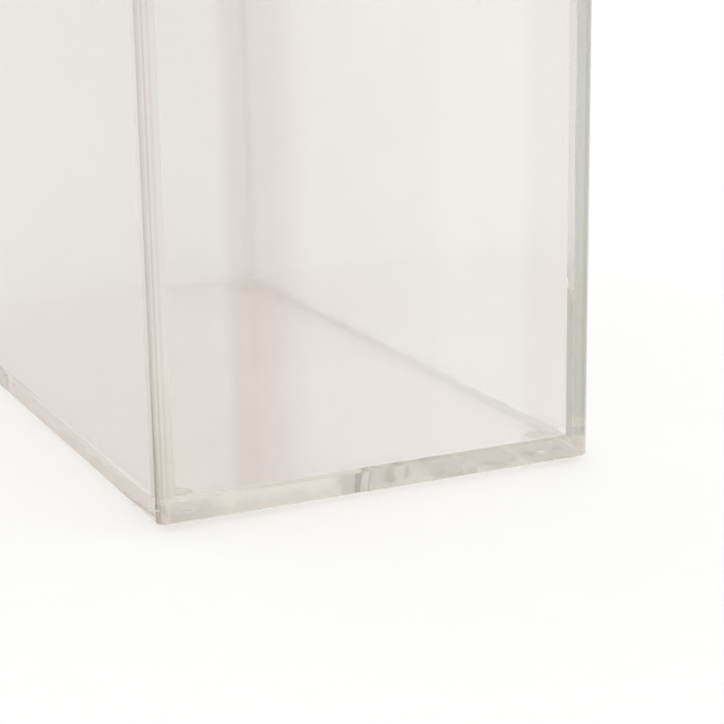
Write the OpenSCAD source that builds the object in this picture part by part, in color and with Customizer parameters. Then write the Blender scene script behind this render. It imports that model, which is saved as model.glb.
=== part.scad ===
// Box-form counter guard of bonded clear acrylic sheet: a base plate, four walls that overlap
// in turn at the corners, a lift-off lid with a locating plate, and clear bumper feet.
// Millimetres. +Z is up, -Y is the front, and the origin is the middle of the footprint on the counter.

/* [Box] */
// Width across the front
guard_w = 200; // [150:5:300]
// Depth from the front face to the rear face
guard_d = 385; // [250:5:500]
// Height of the four walls, from the base joint to the lid seat
wall_h = 215; // [120:1:320]

/* [Sheet] */
// Thickness of the wall sheet
wall_t = 9; // [7:0.5:12]
// Thickness of the base sheet
base_t = 9; // [6:0.5:16]
// Thickness of the lid sheet
lid_t = 9; // [6:0.5:16]
// Radius of the polished upright corners
corner_r = 4.5; // [2:0.5:6]
// Width of the eased edge under the base and on top of the lid
ease = 0.6; // [0.3:0.1:1.5]
// Thickness of a cured bond line
bond_t = 0.2; // [0.1:0.05:0.4]

/* [Lid] */
// Thickness of the locating plate bonded under the lid
locator_t = 5; // [3:0.5:10]
// Corner radius of the locating plate
locator_r = 3; // [2:0.5:8]
// Lead-in chamfer round the locating plate
locator_lead = 1; // [0.5:0.1:2]
// Clearance between the locating plate and each wall
locator_gap = 0.8; // [0.4:0.1:2]
// Height of the hairline between the lid and the wall tops
seat_gap = 0.1; // [0.05:0.05:0.3]

/* [Feet] */
// Diameter of a bumper foot
foot_d = 10; // [8:0.5:16]
// Height of a bumper foot
foot_h = 3; // [2:0.25:5]
// Radius of the rounded lower rim of a foot
foot_rim = 1.5; // [0.5:0.25:1.75]
// Thickness of a foot's adhesive disc
adhesive_t = 0.2; // [0.1:0.05:0.4]
// Distance that an adhesive disc stays inside the foot's rim
adhesive_inset = 0.4; // [0.2:0.1:1]
// Distance from a foot's centre to the side face of the guard
foot_inset_x = 16.5; // [12:0.5:40]
// Distance from a foot's centre to the front or rear face
foot_inset_y = 23; // [12:0.5:60]

/* [Hidden] */
$fn = 64;
// Heights, from the counter up
base_z = foot_h + adhesive_t;
base_top = base_z + base_t;
wall_z = base_top + bond_t;
wall_top = wall_z + wall_h;
lid_z = wall_top + seat_gap;
locator_z = lid_z - bond_t - locator_t;
// Footprint of the locating plate, inside the walls
locator_w = guard_w - 2 * (wall_t + locator_gap);
locator_d = guard_d - 2 * (wall_t + locator_gap);
// Distances from the middle of the footprint to the centres of the feet
foot_x = guard_w / 2 - foot_inset_x;
foot_y = guard_d / 2 - foot_inset_y;
// Small overlap that makes a cut pass right through a face
cut = 0.01;
ACRYLIC = [0.86, 0.85, 0.8, 0.4];
BOND = [0.95, 0.95, 0.92, 0.6];
BUMPER = [0.8, 0.8, 0.78, 0.7];

// A side is told by its turn from the front: 0 is the front, 90 the right, 180 the rear and 270 the left.
// Length of a wall: it reaches from its own corner to the inner face of the next wall
function wall_run(turn) = (turn % 180 == 0 ? guard_w : guard_d) - wall_t - bond_t;

// Puts a shape drawn along +X from the origin at a wall's starting corner, along that side
module along_side(turn) {
    translate([(sin(turn) - cos(turn)) * guard_w / 2, -(sin(turn) + cos(turn)) * guard_d / 2])
        rotate(turn)
            children();
}

// Repeats a shape at the four corners of a rectangle about the origin
module at_corners(half_width, half_depth) {
    for (x = [-half_width, half_width], y = [-half_depth, half_depth])
        translate([x, y, 0])
            children();
}

// Plan of a wall: the outer corner at its start is rounded, and the far end is cut square
module wall_plan(length) {
    difference() {
        square([length, wall_t]);
        difference() {
            translate([-cut, -cut]) square([corner_r + cut, corner_r + cut]);
            translate([corner_r, corner_r]) circle(corner_r);
        }
    }
}

// Plate with rounded upright corners and a chamfer round its lower face, standing on z = 0
module eased_plate(width, depth, thickness, radius, chamfer) {
    module bar(across, along) {
        half = across / 2;
        rotate([90, 0, 0])
            linear_extrude(along, center = true)
                polygon([
                    [-half + chamfer, 0], [half - chamfer, 0], [half, chamfer],
                    [half, thickness], [-half, thickness], [-half, chamfer]
                ]);
    }
    bar(width, depth - 2 * radius);
    rotate(90) bar(depth, width - 2 * radius);
    at_corners(width / 2 - radius, depth / 2 - radius) {
        cylinder(chamfer, radius - chamfer, radius);
        translate([0, 0, chamfer]) cylinder(thickness - chamfer, radius, radius);
    }
}

// Base sheet, which the walls stand on, flush all round
module base_plate() {
    color(ACRYLIC)
        translate([0, 0, base_z])
            eased_plate(guard_w, guard_d, base_t, corner_r, ease);
}

// Upright sheet on one side
module wall(turn) {
    color(ACRYLIC)
        translate([0, 0, wall_z])
            linear_extrude(wall_h)
                along_side(turn) wall_plan(wall_run(turn));
}

// Bond line between a wall's lower edge and the base
module base_bond(turn) {
    color(BOND)
        translate([0, 0, base_top])
            linear_extrude(bond_t)
                along_side(turn) wall_plan(wall_run(turn));
}

// Bond line between a wall's square end and the inner face of the next wall
module corner_bond(turn) {
    color(BOND)
        translate([0, 0, base_top])
            linear_extrude(bond_t + wall_h)
                along_side(turn) translate([wall_run(turn), 0]) square([bond_t, wall_t]);
}

// Lid sheet, flush with the walls, with its upper edge eased
module lid_plate() {
    color(ACRYLIC)
        translate([0, 0, lid_z + lid_t])
            mirror([0, 0, 1])
                eased_plate(guard_w, guard_d, lid_t, corner_r, ease);
}

// Smaller sheet under the lid that drops between the walls and keeps the lid in place
module lid_locating_plate() {
    color(ACRYLIC)
        translate([0, 0, locator_z])
            eased_plate(locator_w, locator_d, locator_t, locator_r, locator_lead);
}

// Bond line between the lid and its locating plate
module lid_bond() {
    color(BOND)
        translate([0, 0, locator_z + locator_t])
            linear_extrude(bond_t)
                union() {
                    square([locator_w, locator_d - 2 * locator_r], center = true);
                    square([locator_w - 2 * locator_r, locator_d], center = true);
                    at_corners(locator_w / 2 - locator_r, locator_d / 2 - locator_r) circle(locator_r);
                }
}

// Soft clear bumper with a rounded lower rim, on the left (-1) or right (1), at the front (-1) or rear (1)
module foot(across, along) {
    color(BUMPER)
        translate([across * foot_x, along * foot_y, 0])
            rotate_extrude()
                union() {
                    square([foot_d / 2 - foot_rim, foot_h]);
                    translate([0, foot_rim]) square([foot_d / 2, foot_h - foot_rim]);
                    intersection() {
                        translate([foot_d / 2 - foot_rim, foot_rim]) circle(foot_rim);
                        square([foot_d / 2, foot_h]);
                    }
                }
}

// Adhesive discs that hold the four feet to the base
module foot_adhesive_discs() {
    color(BOND)
        at_corners(foot_x, foot_y)
            translate([0, 0, foot_h]) cylinder(adhesive_t, d = foot_d - 2 * adhesive_inset);
}

base_plate();
wall(0);  // front_wall
wall(90);  // right_wall
wall(180);  // rear_wall
wall(270);  // left_wall
base_bond(0);  // front_base_bond
base_bond(90);  // right_base_bond
base_bond(180);  // rear_base_bond
base_bond(270);  // left_base_bond
corner_bond(0);  // front_right_bond
corner_bond(90);  // rear_right_bond
corner_bond(180);  // rear_left_bond
corner_bond(270);  // front_left_bond
lid_plate();
lid_bond();
lid_locating_plate();
foot(-1, -1);  // foot_front_left
foot(1, -1);  // foot_front_right
foot(1, 1);  // foot_rear_right
foot(-1, 1);  // foot_rear_left
foot_adhesive_discs();
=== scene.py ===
import bpy
import numpy as np
from mathutils import Matrix, Vector


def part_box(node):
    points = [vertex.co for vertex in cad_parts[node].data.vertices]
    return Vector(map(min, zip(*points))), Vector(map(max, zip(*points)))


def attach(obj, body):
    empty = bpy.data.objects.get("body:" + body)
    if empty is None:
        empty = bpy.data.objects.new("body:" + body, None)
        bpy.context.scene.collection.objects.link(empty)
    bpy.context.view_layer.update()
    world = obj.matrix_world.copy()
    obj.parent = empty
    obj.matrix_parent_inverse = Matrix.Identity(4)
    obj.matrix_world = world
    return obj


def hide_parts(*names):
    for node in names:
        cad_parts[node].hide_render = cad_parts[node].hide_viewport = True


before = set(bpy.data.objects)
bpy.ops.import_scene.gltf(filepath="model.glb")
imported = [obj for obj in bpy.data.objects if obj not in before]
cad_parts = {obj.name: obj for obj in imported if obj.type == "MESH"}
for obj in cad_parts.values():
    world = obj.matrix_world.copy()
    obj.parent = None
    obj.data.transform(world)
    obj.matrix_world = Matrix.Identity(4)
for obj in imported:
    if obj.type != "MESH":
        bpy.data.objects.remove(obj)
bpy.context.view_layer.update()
scene = bpy.context.scene

# Base plate: the sheet of clear cast acrylic that everything stands on. Its edge is polished by hand and
# so a little wavy, its lower rim is eased, and the walls are bonded along the border of its top.
base_lo, base_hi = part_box("base_plate")
front_lo, front_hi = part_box("front_wall")
HALF_X, HALF_Y = base_hi.x, base_hi.y
WALL_T = front_hi.y - front_lo.y
CORNER_R = 0.0045
EASE = 0.0006
# Inside the walls the bonded border ends at corners that are all but square
INNER_R = 0.0001
ARC_STEPS, EASE_STEPS = 24, 5
SHARP_ANGLE = np.radians(28)


def rounded_plan(half_x, half_y, radius, inset=0.0):
    """Outline of a rectangle about the origin with quarter circles at its corners, drawn in by inset: a
    corner's centre plus the radius less the inset, times the cosine and the sine of the angle."""
    turn, arc = np.meshgrid(np.arange(4), np.linspace(0, 1, ARC_STEPS + 1), indexing="ij")
    angle = np.pi + (turn + arc) * np.pi / 2
    centre_x = np.array([-1, 1, 1, -1])[turn] * (half_x - radius)
    centre_y = np.array([-1, -1, 1, 1])[turn] * (half_y - radius)
    reach = radius - inset
    return np.stack([centre_x + reach * np.cos(angle), centre_y + reach * np.sin(angle)], -1).reshape(-1, 2)


def at_height(plan, z):
    """Outline points at one height."""
    return np.column_stack([plan, np.full(len(plan), z)])


def eased_rows(plan_at, z, size, up):
    """Rows of a quarter-round edge at the face z, the upper one (up is 1) or the lower (-1). Row by row the
    outline goes in by the size times 1 less the cosine, and stays off the face by the size times 1 less
    the sine. plan_at gives the outline for an inset."""
    angle = np.linspace(0, np.pi / 2, EASE_STEPS + 1)
    rows = [at_height(plan_at(size * (1 - np.cos(a))), z - up * size * (1 - np.sin(a))) for a in angle]
    return rows[::up]


def stacked(rows, bonded=0, cut=0, cut_bands=(), bonded_caps=(0, 0), rounding=0):
    """A closed solid from outlines stacked from its lower face to its upper face, a band of quads between
    each two and a cap at each end. bonded, cut and rounding hold a value for each edge of the outline:
    bonded may hold a row of them for each band, and cut counts in the cut bands only."""
    count, bands = len(rows[0]), len(rows) - 1
    band, edge = np.meshgrid(np.arange(bands), np.arange(count), indexing="ij")
    here, after = band * count + edge, band * count + (edge + 1) % count
    quads = np.stack([here, after, after + count, here + count], -1).reshape(-1, 4)
    caps = [np.arange(count)[::-1].tolist(), (bands * count + np.arange(count)).tolist()]
    is_bonded = np.broadcast_to(bonded, (bands, count)).ravel()
    is_cut = np.where(np.isin(band, cut_bands), np.broadcast_to(cut, count)[edge], 0).ravel()
    is_round = np.broadcast_to(rounding, count)[edge].ravel()
    marks = {
        "bonded": np.append(is_bonded, bonded_caps),
        "cut_edge": np.append(is_cut, (0, 0)),
        "round": np.append(is_round, (0, 0)),
    }
    return np.concatenate(rows), quads.tolist() + caps, marks


def piece(name, solid, material, body, slot, *stands_for):
    """A mesh with smooth arcs and sharp corners, whose flat faces stay flat, riding on a CAD body."""
    verts, faces, marks = solid
    mesh = bpy.data.meshes.new(name)
    mesh.from_pydata(np.asarray(verts).tolist(), [], faces)
    mesh.polygons.foreach_set("use_smooth", np.ones(len(faces), bool))
    mesh.set_sharp_from_angle(angle=SHARP_ANGLE)
    for mark, values in marks.items():
        mesh.attributes.new(mark, "FLOAT", "FACE").data.foreach_set("value", values.astype(np.float32))
    mesh.materials.append(material)
    obj = bpy.data.objects.new(name, mesh)
    scene.collection.objects.link(obj)
    even = obj.modifiers.new("even_normals", "WEIGHTED_NORMAL")
    even.keep_sharp = True
    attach(obj, body)
    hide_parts(*stands_for)


def nodes_of(owner, main="Principled BSDF"):
    """The node tree of a new material or world, its main node and a function that adds a node to it."""
    owner.use_nodes = True
    tree = owner.node_tree

    def add(kind, **values):
        node = tree.nodes.new("ShaderNode" + kind)
        for name, value in values.items():
            setattr(node, name, value)
        return node

    return tree, tree.nodes[main], add


def noise(tree, add, cells, detail, stretch=(1, 1, 1), shift=(0, 0, 0)):
    """A noise of so many cells to the metre on the piece's own coordinates, squeezed along its axes."""
    spread = add("Mapping")
    spread.inputs["Location"].default_value = shift
    spread.inputs["Scale"].default_value = stretch
    tree.links.new(add("TexCoord").outputs["Object"], spread.inputs["Vector"])
    texture = add("TexNoise")
    texture.inputs["Scale"].default_value = cells
    texture.inputs["Detail"].default_value = detail
    tree.links.new(spread.outputs["Vector"], texture.inputs["Vector"])
    return texture.outputs["Fac"]


def between(tree, add, value, low, high, to_low, to_high, curve="LINEAR"):
    """A value taken from one range to another, in a straight line or a soft curve, and held at its ends."""
    ranged = add("MapRange", interpolation_type=curve)
    for name, number in zip(("From Min", "From Max", "To Min", "To Max"), (low, high, to_low, to_high)):
        ranged.inputs[name].default_value = number
    tree.links.new(value, ranged.inputs["Value"])
    return ranged.outputs["Result"]


# Share by which a haze or a roughness goes up and down from place to place
UNEVEN = 0.3


def uneven(tree, add, value, low, high, middle):
    """A roughness that goes up and down about its middle as a value goes from low to high."""
    return between(tree, add, value, low, high, (1 - UNEVEN) * middle, (1 + UNEVEN) * middle)


def shaded(tree, add, value, dark, light, start=0.0, end=1.0):
    """A colour that goes from a dark one to a light one as a value goes from start to end."""
    ramp = add("ValToRGB")
    for stop, place, colour in zip(ramp.color_ramp.elements, (start, end), (dark, light)):
        stop.position = place
        stop.color = (*colour, 1)
    tree.links.new(value, ramp.inputs["Fac"])
    return ramp.outputs["Color"]


# Painted shade marks are places from 0 to 1, each with a tone, which their hue shares out to red, green and
# blue
SHADE_HUE, PLAIN_SHADE_HUE = (0.85, 1.1, 1.2), (1, 1, 1)
# Sockets of a Mix node that hold its colours
COLOUR_A, COLOUR_B, COLOUR_OUT = 6, 7, 2


def painted_shade(tree, add, colour, place, marks, curve, shade_hue=SHADE_HUE, share=None):
    """Painted shade: a colour times 1 less the tone of the marks at a place times their hue, all over or by
    a share.
    """
    ramp = add("ValToRGB")
    ramp.color_ramp.interpolation = curve
    stops = ramp.color_ramp.elements
    stops.remove(stops[1])
    for count, (where, tone) in enumerate(marks):
        stop = stops.new(where) if count else stops[0]
        stop.position = where
        stop.color = (*(1 - tone * np.array(shade_hue)), 1)
    tree.links.new(place, ramp.inputs["Fac"])
    darker = add("Mix", data_type="RGBA", blend_type="MULTIPLY")
    darker.inputs["Factor"].default_value = 1.0
    if share is not None:
        tree.links.new(share, darker.inputs["Factor"])
    tree.links.new(colour, darker.inputs[COLOUR_A])
    tree.links.new(ramp.outputs["Color"], darker.inputs[COLOUR_B])
    return darker.outputs[COLOUR_OUT]


def place_along(tree, add, turn):
    """The place across the part, from 0 to 1, along a direction turned from +X: the distance along it over
    the reach of the part's footprint that way."""
    along = add("VectorMath", operation="DOT_PRODUCT")
    along.inputs[1].default_value = (np.cos(turn), np.sin(turn), 0)
    tree.links.new(add("TexCoord").outputs["Object"], along.inputs[0])
    half_run = abs(np.cos(turn)) * HALF_X + abs(np.sin(turn)) * HALF_Y
    return between(tree, add, along.outputs["Value"], -half_run, half_run, 0.0, 1.0)


foot_lo, foot_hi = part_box("foot_rear_right")
discs_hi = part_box("foot_adhesive_discs")[1]
FOOT_X, FOOT_Y = (foot_lo.x + foot_hi.x) / 2, (foot_lo.y + foot_hi.y) / 2
DISC_R = discs_hi.x - FOOT_X
# Share of a foot's patch that is stuck all over, and how many times a height counts in finding the patch
PATCH_CORE, THIN = 0.5, 200.0


def stuck_patch(tree, add, height):
    """1 in the middle of the round patches that the adhesive discs hold on the faces at a height, falling
    to 0 at their rims: by the distance to a foot's axis, with heights counted many times over."""
    quarter = add("VectorMath", operation="ABSOLUTE")
    tree.links.new(add("TexCoord").outputs["Object"], quarter.inputs[0])
    away = add("VectorMath", operation="MULTIPLY_ADD")
    away.inputs[1].default_value = (1, 1, THIN)
    away.inputs[2].default_value = (-FOOT_X, -FOOT_Y, -THIN * height)
    tree.links.new(quarter.outputs["Vector"], away.inputs[0])
    reach = add("VectorMath", operation="LENGTH")
    tree.links.new(away.outputs["Vector"], reach.inputs[0])
    return between(tree, add, reach.outputs["Value"], PATCH_CORE * DISC_R, DISC_R, 1.0, 0.0)


ACRYLIC_IOR = 1.49
# Any density above the greatest loss per metre will do, because the colour of the absorption allows for it
DENSITY = 5.0
SMUDGE_DARK, SMUDGE_LIGHT = 0.985, 1.008
HAIRLINE_ROUGH, CUT_ROUGH = 0.02, 0.06
# Wobble of the painted dark patches along the cut edges
EDGE_SHADE_WOBBLE = 0.016
# Shift that places the patches that cement has wetted in a joint
WET_SHIFT = (0, 0.13, 0)
# Painted shade: dark lines across a rounded corner, from one face to the next, standing in for the shaded
# lines the bent light shows there
PAINTED_CORNER_LINES = (
    (0.0, 0.0), (0.03, 0.26), (0.2, 0.26), (0.26, 0.13), (0.41, 0.13), (0.45, 0.0), (0.53, 0.0),
    (0.57, 0.24), (0.65, 0.24), (0.7, 0.0), (0.8, 0.0), (0.87, 0.11), (0.99, 0.11),
)


def acrylic_material(name, tint, loss, haze, wave, turn=0.0, streak_shade_at=(), edge_shade_at=(), shade_hue=SHADE_HUE,
                     footed=False, dust=0.0):
    """Clear acrylic with a tint per pane and so much light lost per metre. Smudges and hairlines make its
    faces hazy, and its cut edges are wavy. Painted shade: dark lines run along the rounded corners, and
    streaks of the shade hue, in part painted reflections, lie across the direction at a turn from +X, as do
    dark patches on the cut edges. Dust takes a little of its clearness. The bonded attribute is the share
    of a face that cement has wetted: there the IOR is 1 and the face can't be seen, and so it is over each
    foot of a footed sheet."""
    material = bpy.data.materials.new(name)
    tree, shader, add = nodes_of(material)
    link = tree.links.new
    tint = np.array(tint)
    smudge = noise(tree, add, cells=14.0, detail=6.0)
    smudged = shaded(
        tree, add, smudge, SMUDGE_DARK * tint, np.minimum(SMUDGE_LIGHT * tint, 1), start=0.35, end=0.7
    )
    # Painted shade: dark lines across the rounded corners, by the place across each
    round_place = add("Attribute", attribute_name="round").outputs["Fac"]
    surface = painted_shade(tree, add, smudged, round_place, PAINTED_CORNER_LINES, "LINEAR")
    edge = add("Attribute", attribute_name="cut_edge").outputs["Fac"]
    # Painted shade: streaks across the part in the shade hue
    if streak_shade_at:
        surface = painted_shade(tree, add, surface, place_along(tree, add, turn), streak_shade_at, "EASE", shade_hue)
    # Painted shade: dark patches along the cut edges, standing in for dark reflections inside them
    if edge_shade_at:
        wobble = noise(tree, add, cells=130.0, detail=1.0)
        edge_shade_place = add("Math", operation="ADD")
        link(place_along(tree, add, turn), edge_shade_place.inputs[0])
        link(between(tree, add, wobble, 0.0, 1.0, -EDGE_SHADE_WOBBLE, EDGE_SHADE_WOBBLE), edge_shade_place.inputs[1])
        surface = painted_shade(
            tree, add, surface, edge_shade_place.outputs["Value"], edge_shade_at, "EASE", PLAIN_SHADE_HUE, edge
        )

    hairline = noise(tree, add, cells=30.0, detail=2.0, stretch=(1, 1, 60))
    wiped = add("Math", operation="ADD")
    scratched = between(tree, add, hairline, low=0.6, high=0.75, to_low=0.0, to_high=HAIRLINE_ROUGH)
    link(scratched, wiped.inputs[0])
    link(uneven(tree, add, smudge, low=0.4, high=0.8, middle=haze), wiped.inputs[1])
    polish = add("Math", operation="MULTIPLY_ADD")
    link(edge, polish.inputs[0])
    polish.inputs[1].default_value = CUT_ROUGH
    link(wiped.outputs["Value"], polish.inputs[2])
    link(polish.outputs["Value"], shader.inputs["Roughness"])
    wavy = add("Bump")
    wavy.inputs["Distance"].default_value = wave
    link(edge, wavy.inputs["Strength"])
    link(noise(tree, add, cells=100.0, detail=1.0, stretch=(1, 1, 0.3)), wavy.inputs["Height"])
    link(wavy.outputs["Normal"], shader.inputs["Normal"])

    wet = add("Math", operation="LESS_THAN")
    link(noise(tree, add, cells=36.0, detail=1.0, stretch=(1, 1, 0), shift=WET_SHIFT), wet.inputs[0])
    link(add("Attribute", attribute_name="bonded").outputs["Fac"], wet.inputs[1])
    bonded = wet.outputs["Value"]
    if footed:
        either = add("Math", operation="MAXIMUM")
        link(bonded, either.inputs[0])
        link(stuck_patch(tree, add, base_lo.z), either.inputs[1])
        bonded = either.outputs["Value"]
    link(between(tree, add, bonded, 0.0, 1.0, ACRYLIC_IOR, 1.0), shader.inputs["IOR"])
    open_face = add("Mix", data_type="RGBA")
    link(bonded, open_face.inputs["Factor"])
    link(surface, open_face.inputs[COLOUR_A])
    open_face.inputs[COLOUR_B].default_value = (1, 1, 1, 1)
    link(open_face.outputs[COLOUR_OUT], shader.inputs["Base Color"])
    shader.inputs["Transmission Weight"].default_value = 1.0 - dust
    inside = add("VolumeAbsorption")
    inside.inputs["Color"].default_value = (*(1 - np.array(loss) / DENSITY), 1)
    inside.inputs["Density"].default_value = DENSITY
    link(inside.outputs["Volume"], tree.nodes["Material Output"].inputs["Volume"])
    return material


BASE_TINT, BASE_LOSS = (0.988, 0.975, 0.972), (0.6, 0.65, 0.87)
BASE_HAZE, BASE_WAVE = 0.02, 8e-4
SIDE_EDGES_WAVY = 0.15
# Share of the joint under the right wall that cement has wetted
RIGHT_WETTED = 0.52
# Place among the painted corner lines whose painted shade the left edge has
BASE_EDGE_SHADE_PLACE = 0.1
# Painted shade: streaks on the faces and dark patches on the front edge lie across a direction turned from
# +X
BASE_SHADE_HUE = (0.6, 1.05, 1.25)
BASE_SHADE_TURN = np.radians(-25)
BASE_SHADE_AT = ((0.0, 0.062), (0.54, 0.062), (0.57, 0.045), (0.6, 0.018), (0.66, 0.004), (0.72, 0.0))
EDGE_SHADE_AT = (
    (0.474, 0.28), (0.495, 0.26), (0.511, 0.22), (0.523, 0.17), (0.536, 0.09), (0.553, 0.0),
    (0.677, 0.0), (0.695, 0.36), (0.707, 0.36), (0.721, 0.1), (0.742, 0.12), (0.755, 0.0),
)
# Edges of the base's outline, counted from the arc at its front left corner
FRONT_EDGE, RIGHT_EDGE, LEFT_EDGE = ARC_STEPS, 2 * ARC_STEPS + 1, -1
base_acrylic = acrylic_material(
    "base_acrylic", BASE_TINT, BASE_LOSS, BASE_HAZE, BASE_WAVE,
    BASE_SHADE_TURN, BASE_SHADE_AT, EDGE_SHADE_AT, BASE_SHADE_HUE, footed=True,
)
base_rows = eased_rows(lambda inset: rounded_plan(HALF_X, HALF_Y, CORNER_R, inset), base_lo.z, EASE, -1)
base_rows.append(at_height(rounded_plan(HALF_X, HALF_Y, CORNER_R), base_hi.z))
base_rows.append(at_height(rounded_plan(HALF_X - WALL_T, HALF_Y - WALL_T, INNER_R), base_hi.z))
base_bonded = np.zeros((len(base_rows) - 1, len(base_rows[0])))
base_bonded[-1] = 1
base_bonded[-1, RIGHT_EDGE] = RIGHT_WETTED
base_cut = np.full(len(base_rows[0]), SIDE_EDGES_WAVY)
base_cut[FRONT_EDGE] = 1
# The base's front left corner and left edge take painted shade from the corner lines
base_round = np.zeros(len(base_rows[0]))
base_round[:ARC_STEPS] = np.linspace(BASE_EDGE_SHADE_PLACE, 0.0, ARC_STEPS)
base_round[LEFT_EDGE] = BASE_EDGE_SHADE_PLACE
piece(
    "base_sheet",
    stacked(base_rows, base_bonded, base_cut, cut_bands=(EASE_STEPS,), rounding=base_round),
    base_acrylic, "case", "clear_acrylic", "base_plate",
)

# Walls: four sheets of the same acrylic. Each starts with a rounded outer corner, covers the end of the
# wall before it and ends square against the wall after it, round the box in turn.
BOND_T = front_lo.z - base_hi.z
WALL_EASE = 0.0003
WALL_HAZE, WALL_WAVE = 0.09, 4e-6
SIDES = ("front", "right", "rear", "left")
# Tints: the acrylic's own slight tint, made deeper and different from wall to wall as painted shade
WALL_TINT_AND_SHADE = {
    "front": (0.917, 0.902, 0.888),
    "right": (0.965, 0.957, 0.945),
    "rear": (0.85, 0.835, 0.815),
    "left": (0.86, 0.835, 0.815),
}
WALL_LOSS = {
    "front": (0.2, 0.2, 0.25),
    "right": (0.88, 0.77, 0.9),
    "rear": (0.2, 0.2, 0.25),
    "left": (0.2, 0.2, 0.25),
}
# Painted shade: a darker streak on the front wall is a painted reflection, the front wall darkens at its
# right end and the right wall towards its rear joint
WALL_SHADE_AT = {
    "front": (
        (0.155, 0.0), (0.185, 0.09), (0.245, 0.09), (0.36, 0.025), (0.6, 0.02), (0.67, 0.0),
        (0.82, 0.0), (0.87, 0.045), (0.95, 0.045),
    ),
    "right": ((0.72, 0.0), (0.9, 0.07), (0.99, 0.07)),
    "rear": (),
    "left": (),
}


def on_side(side, plan):
    """Plan points drawn along a side from its own corner, x along it and y inwards, put on the part: turned
    by a quarter for each side after the front, and moved to the corner."""
    turn = side * np.pi / 2
    corner = np.array([np.sin(turn) - np.cos(turn), -np.sin(turn) - np.cos(turn)]) * (HALF_X, HALF_Y)
    spin = np.array([[np.cos(turn), np.sin(turn)], [-np.sin(turn), np.cos(turn)]])
    return corner + np.asarray(plan) @ spin


def wall_run(side):
    """Length of a wall, from its own corner to the bond at its far end."""
    return 2 * (HALF_X if side % 2 == 0 else HALF_Y) - WALL_T - BOND_T


def wall_plan(run, inset=0.0):
    """Outline of a wall from its own corner, drawn in by inset: an arc, whose centre is a corner radius in
    and whose points lie off it by the radius less the inset, times the cosine and the sine of the angle,
    then the outer face, the square end and the inner face."""
    arc = np.radians(np.linspace(180, 270, ARC_STEPS + 1))
    start = CORNER_R + (CORNER_R - inset) * np.column_stack([np.cos(arc), np.sin(arc)])
    far, inner = run - inset, WALL_T - inset
    return np.concatenate([start, [(far, inset), (far, inner), (WALL_T, inner), (inset, inner)]])


# Edges of a wall's outline: the arc, the outer face, the far end, the inner face, the strip that covers
# the end of the wall before, and the near end
FAR_END, COVERING_STRIP = ARC_STEPS + 1, ARC_STEPS + 3
WALL_BONDED = np.array([0] * ARC_STEPS + [0, 1, 0, 1, 0])
WALL_CUT = np.array([1] * ARC_STEPS + [0, 1, 0, 0, 1])
WALL_ROUND = np.append((np.arange(ARC_STEPS) + 0.5) / ARC_STEPS, [0] * 5)
# The cement of the front right joint has drawn up only this far, slanting across it, and above it is dry
WET_TO, WET_SLANT = 0.066, 0.005
for side, word in enumerate(SIDES):
    run = wall_run(side)
    wall_acrylic = acrylic_material(
        word + "_acrylic", WALL_TINT_AND_SHADE[word], WALL_LOSS[word], WALL_HAZE, WALL_WAVE,
        side * np.pi / 2, WALL_SHADE_AT[word],
    )
    wall_plan_here = on_side(side, wall_plan(run))
    wet_line = at_height(wall_plan_here, front_lo.z + WET_TO)
    wet_line[FAR_END, 2] -= WET_SLANT
    wet_line[FAR_END + 1, 2] += WET_SLANT
    upper_bonded = WALL_BONDED.copy()
    upper_bonded[FAR_END] = word != "front"
    upper_bonded[COVERING_STRIP] = word != "right"
    under = RIGHT_WETTED if word == "right" else 1
    bonded_rows = np.vstack([WALL_BONDED] + [upper_bonded] * (EASE_STEPS + 1))
    wall_rows = [at_height(wall_plan_here, front_lo.z), wet_line]
    wall_rows += eased_rows(lambda inset: on_side(side, wall_plan(run, inset)), front_hi.z, WALL_EASE, 1)
    piece(
        word + "_sheet",
        stacked(wall_rows, bonded_rows, WALL_CUT, cut_bands=(0, 1), bonded_caps=(under, 0),
                rounding=WALL_ROUND),
        wall_acrylic, "case", "clear_acrylic", word + "_wall",
    )

# Bond lines: solvent cement that has cured to a thin clear film with small bubbles in it. Each film keeps
# a hair's breadth from the sheets, whose bonded faces let the light through to it.
FILM_AIR = 0.00002
BUBBLE_CELLS, BUBBLE_REACH, BUBBLE_CLEARNESS = 700.0, 0.14, 0.6
CEMENT_DARK = 0.97
CORNERS = ("front_right", "rear_right", "rear_left", "front_left")


def cement_material(name, pale, bend, rough):
    """Cured cement film: it bends and spreads the light a little, and scatters it where bubbles gather."""
    material = bpy.data.materials.new(name)
    tree, shader, add = nodes_of(material)
    link = tree.links.new
    cells = add("TexVoronoi")
    cells.inputs["Scale"].default_value = BUBBLE_CELLS
    link(add("TexCoord").outputs["Object"], cells.inputs["Vector"])
    gathered = noise(tree, add, cells=45.0, detail=4.0)
    bubble = add("Math", operation="LESS_THAN")
    link(cells.outputs["Distance"], bubble.inputs[0])
    reach = between(tree, add, gathered, low=0.55, high=0.8, to_low=0.0, to_high=BUBBLE_REACH)
    link(reach, bubble.inputs[1])
    clearness = between(tree, add, bubble.outputs["Value"], 0.0, 1.0, 1.0, BUBBLE_CLEARNESS)
    link(clearness, shader.inputs["Transmission Weight"])
    link(uneven(tree, add, gathered, low=0.3, high=0.7, middle=rough), shader.inputs["Roughness"])
    link(shaded(tree, add, gathered, CEMENT_DARK * np.array(pale), pale), shader.inputs["Base Color"])
    shader.inputs["IOR"].default_value = bend
    return material


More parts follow.
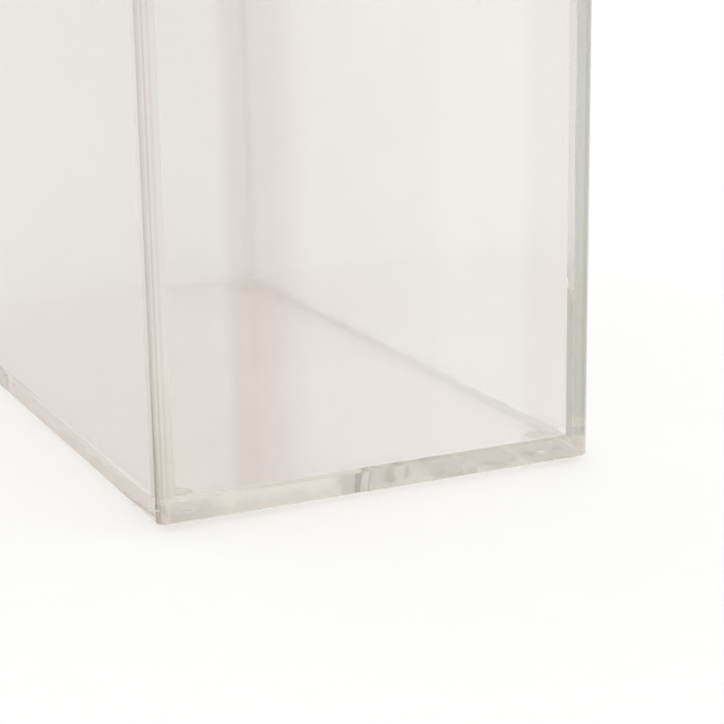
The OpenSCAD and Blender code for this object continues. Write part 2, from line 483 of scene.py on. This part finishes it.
base_cement = cement_material("base_cement", pale=(0.99, 0.985, 0.97), bend=1.0, rough=0.2)
upright_cement = cement_material("upright_cement", pale=(0.98, 0.97, 0.955), bend=1.12, rough=0.4)
for side, (word, corner) in enumerate(zip(SIDES, CORNERS)):
    run = wall_run(side)
    under_wall = on_side(side, wall_plan(run))
    film_rows = [at_height(under_wall, base_hi.z + FILM_AIR), at_height(under_wall, front_lo.z - FILM_AIR)]
    piece(word + "_base_film", stacked(film_rows), base_cement, "case", "clear_cement", word + "_base_bond")
    near, far = run + FILM_AIR, run + BOND_T - FILM_AIR
    at_end = on_side(side, [(near, 0), (far, 0), (far, WALL_T), (near, WALL_T)])
    film_rows = [at_height(at_end, base_hi.z + FILM_AIR), at_height(at_end, front_hi.z - WALL_EASE)]
    piece(corner + "_film", stacked(film_rows), upright_cement, "case", "clear_cement", corner + "_bond")

# Lid: a flush sheet of the same acrylic with an eased upper edge, and bonded under it a smaller plate
# with a lead-in, which drops between the walls and keeps the lid in place.
lid_lo, lid_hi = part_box("lid_plate")
locator_lo, locator_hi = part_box("lid_locating_plate")
LOCATOR_R = 0.003
LEAD_IN = 0.001
LID_TINT, LID_LOSS = (0.975, 0.965, 0.95), (0.4, 0.4, 0.5)
LID_HAZE, LID_WAVE, LID_DUST = 0.02, 1.5e-4, 0.012
lid_acrylic = acrylic_material("lid_acrylic", LID_TINT, LID_LOSS, LID_HAZE, LID_WAVE, dust=LID_DUST)
locator_plan = rounded_plan(locator_hi.x, locator_hi.y, LOCATOR_R)
lid_rows = [at_height(locator_plan, lid_lo.z), at_height(rounded_plan(HALF_X, HALF_Y, CORNER_R), lid_lo.z)]
lid_rows += eased_rows(lambda inset: rounded_plan(HALF_X, HALF_Y, CORNER_R, inset), lid_hi.z, EASE, 1)
piece(
    "lid_sheet",
    stacked(lid_rows, cut=1, cut_bands=(1,), bonded_caps=(1, 0)),
    lid_acrylic, "lid", "clear_acrylic", "lid_plate",
)
locator_rows = [
    at_height(rounded_plan(locator_hi.x, locator_hi.y, LOCATOR_R, LEAD_IN), locator_lo.z),
    at_height(locator_plan, locator_lo.z + LEAD_IN),
    at_height(locator_plan, locator_hi.z),
]
piece(
    "locating_sheet",
    stacked(locator_rows, cut=1, cut_bands=(0, 1), bonded_caps=(0, 1)),
    lid_acrylic, "lid", "clear_acrylic", "lid_locating_plate",
)
film_rows = [at_height(locator_plan, locator_hi.z + FILM_AIR), at_height(locator_plan, lid_lo.z - FILM_AIR)]
piece("lid_film", stacked(film_rows), base_cement, "lid", "clear_cement", "lid_bond")

# Bumper feet: soft clear polyurethane, satin from its mould, each stuck to the base by a thin disc of
# clear adhesive.
FEET = ("foot_front_left", "foot_front_right", "foot_rear_right", "foot_rear_left")
BUMPER_IOR = 1.48
BUMPER_DARK, BUMPER_LIGHT = (0.93, 0.94, 0.9), (0.98, 0.985, 0.95)
BUMPER_SATIN, BUMPER_DULL = 0.2, 0.45
ADHESIVE_DARK, ADHESIVE_LIGHT = (0.92, 0.93, 0.9), (0.97, 0.975, 0.95)
ADHESIVE_SATIN, ADHESIVE_DULL = 0.4, 0.6
ADHESIVE_CLEARNESS = 0.97
DISC_STEPS = 48
bumper = bpy.data.materials.new("clear_bumper")
tree, shader, add = nodes_of(bumper)
link = tree.links.new
grain = noise(tree, add, cells=900.0, detail=2.0)
link(between(tree, add, grain, 0.0, 1.0, BUMPER_SATIN, BUMPER_DULL), shader.inputs["Roughness"])
link(shaded(tree, add, grain, BUMPER_DARK, BUMPER_LIGHT), shader.inputs["Base Color"])
shader.inputs["Transmission Weight"].default_value = 1.0
link(between(tree, add, stuck_patch(tree, add, foot_hi.z), 0.0, 1.0, BUMPER_IOR, 1.0), shader.inputs["IOR"])
for name in FEET:
    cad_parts[name].data.materials.clear()
    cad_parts[name].data.materials.append(bumper)
tacky = bpy.data.materials.new("adhesive_film")
tree, shader, add = nodes_of(tacky)
link = tree.links.new
blotch = noise(tree, add, cells=500.0, detail=2.0)
link(shaded(tree, add, blotch, ADHESIVE_DARK, ADHESIVE_LIGHT), shader.inputs["Base Color"])
satin = between(tree, add, blotch, low=0.3, high=0.7, to_low=ADHESIVE_SATIN, to_high=ADHESIVE_DULL)
link(satin, shader.inputs["Roughness"])
shader.inputs["Transmission Weight"].default_value = ADHESIVE_CLEARNESS
shader.inputs["IOR"].default_value = 1.0


def disc_solid(centre_x, centre_y):
    """A round disc on a foot: a circle of points, the centre plus the radius times the cosine and the sine
    of the angle, at its lower face and again at its upper face."""
    angle = np.linspace(0, 2 * np.pi, DISC_STEPS, endpoint=False)
    circle = np.column_stack([centre_x + DISC_R * np.cos(angle), centre_y + DISC_R * np.sin(angle)])
    return stacked([at_height(circle, foot_hi.z + FILM_AIR), at_height(circle, base_lo.z - FILM_AIR)])


def joined(solids):
    """Several solids as one mesh: each one's faces count on from the vertices before it."""
    starts = np.cumsum([0] + [len(verts) for verts, faces, marks in solids])
    faces = [(np.array(face) + start).tolist() for (_, own, _), start in zip(solids, starts) for face in own]
    marks = {mark: np.concatenate([solid[2][mark] for solid in solids]) for mark in solids[0][2]}
    return np.concatenate([solid[0] for solid in solids]), faces, marks


discs = [disc_solid(x * FOOT_X, y * FOOT_Y) for x in (-1, 1) for y in (-1, 1)]
piece("adhesive_discs", joined(discs), tacky, "case", "adhesive_film", "foot_adhesive_discs")

# Studio: a pale floor, soft light from overhead and all round, a little dimmer from the left and the
# front, and the camera that the edges in the photograph were fitted with.
FLOOR_REACH, FLOOR_DROP = 8.0, 1e-4
FLOOR_DARK, FLOOR_LIGHT = (0.745, 0.745, 0.74), (0.76, 0.76, 0.757)
# The floor glows a little all over: painted light that lifts the object's shadow on it
FLOOR_GLOW = 0.16
BRIGHT_WAY = (0.95, 0.3, 0.0)
DIM_LIGHT, BRIGHT_LIGHT, SKYLINE_LIGHT, OVERHEAD_LIGHT = 0.76, 1.02, 0.98, 1.2
LIGHT_BOUNCES, CLEAR_BOUNCES = 64, 32
SENSOR_MM, LENS_MM = 36.0, 98.38
YAW, TILT, ROLL = np.radians([25.08, 15.02, 0.94])
# From the lower front left corner of the base to the camera
CAMERA_AWAY = Vector((-0.2419, -0.7097, 0.2667))
# Sockets of a Mix node that hold its numbers
NUMBER_A, NUMBER_B, NUMBER_OUT = 2, 3, 0

floor_mesh = bpy.data.meshes.new("floor")
floor_mesh.from_pydata(
    [(x * FLOOR_REACH, y * FLOOR_REACH, -FLOOR_DROP) for x, y in ((-1, -1), (1, -1), (1, 1), (-1, 1))],
    [], [(0, 1, 2, 3)],
)
floor = bpy.data.objects.new("floor", floor_mesh)
scene.collection.objects.link(floor)
paper = bpy.data.materials.new("white_paper")
tree, shader, add = nodes_of(paper)
fibre = noise(tree, add, cells=60.0, detail=4.0)
tree.links.new(shaded(tree, add, fibre, FLOOR_DARK, FLOOR_LIGHT), shader.inputs["Base Color"])
shader.inputs["Roughness"].default_value = 1.0
shader.inputs["Specular IOR Level"].default_value = 0.0
shader.inputs["Emission Color"].default_value = (1, 1, 1, 1)
shader.inputs["Emission Strength"].default_value = FLOOR_GLOW
floor_mesh.materials.append(paper)


def drawn_to(tree, add, value, goal, share):
    """A value taken to a goal by a share of the way from 0 to 1."""
    mix = add("Mix", data_type="FLOAT")
    tree.links.new(share, mix.inputs["Factor"])
    tree.links.new(value, mix.inputs[NUMBER_A])
    mix.inputs[NUMBER_B].default_value = goal
    return mix.outputs[NUMBER_OUT]


world = bpy.data.worlds.new("studio")
scene.world = world
tree, background, add = nodes_of(world, "Background")
link = tree.links.new
way = add("TexCoord").outputs["Generated"]
facing = add("VectorMath", operation="DOT_PRODUCT")
facing.inputs[1].default_value = BRIGHT_WAY
link(way, facing.inputs[0])
around = between(
    tree, add, facing.outputs["Value"], low=-0.5, high=0.6, to_low=DIM_LIGHT, to_high=BRIGHT_LIGHT,
    curve="SMOOTHSTEP",
)
split = add("SeparateXYZ")
link(way, split.inputs["Vector"])
height = split.outputs["Z"]
skyline = between(tree, add, height, low=0.0, high=0.15, to_low=1.0, to_high=0.0, curve="SMOOTHSTEP")
overhead = between(tree, add, height, low=0.25, high=0.6, to_low=0.0, to_high=1.0, curve="SMOOTHSTEP")
low_light = drawn_to(tree, add, around, SKYLINE_LIGHT, skyline)
link(drawn_to(tree, add, low_light, OVERHEAD_LIGHT, overhead), background.inputs["Strength"])
background.inputs["Color"].default_value = (1, 1, 1, 1)

scene.view_settings.view_transform = "Standard"
scene.cycles.blur_glossy = 0.0
scene.cycles.max_bounces = LIGHT_BOUNCES
scene.cycles.glossy_bounces = LIGHT_BOUNCES
scene.cycles.transmission_bounces = LIGHT_BOUNCES
scene.cycles.transparent_max_bounces = CLEAR_BOUNCES

ahead = Vector((np.sin(YAW) * np.cos(TILT), np.cos(YAW) * np.cos(TILT), -np.sin(TILT)))
level = Vector((np.cos(YAW), -np.sin(YAW), 0))
down = ahead.cross(level)
right = np.cos(ROLL) * level + np.sin(ROLL) * down
down = np.cos(ROLL) * down - np.sin(ROLL) * level
camera = bpy.data.objects.new("camera", bpy.data.cameras.new("camera"))
camera.data.sensor_width = SENSOR_MM
camera.data.lens = LENS_MM
turned = Matrix((right, -down, -ahead)).transposed().to_4x4()
turned.translation = Vector((-HALF_X, -HALF_Y, base_lo.z)) + CAMERA_AWAY
camera.matrix_world = turned
scene.collection.objects.link(camera)
scene.camera = camera
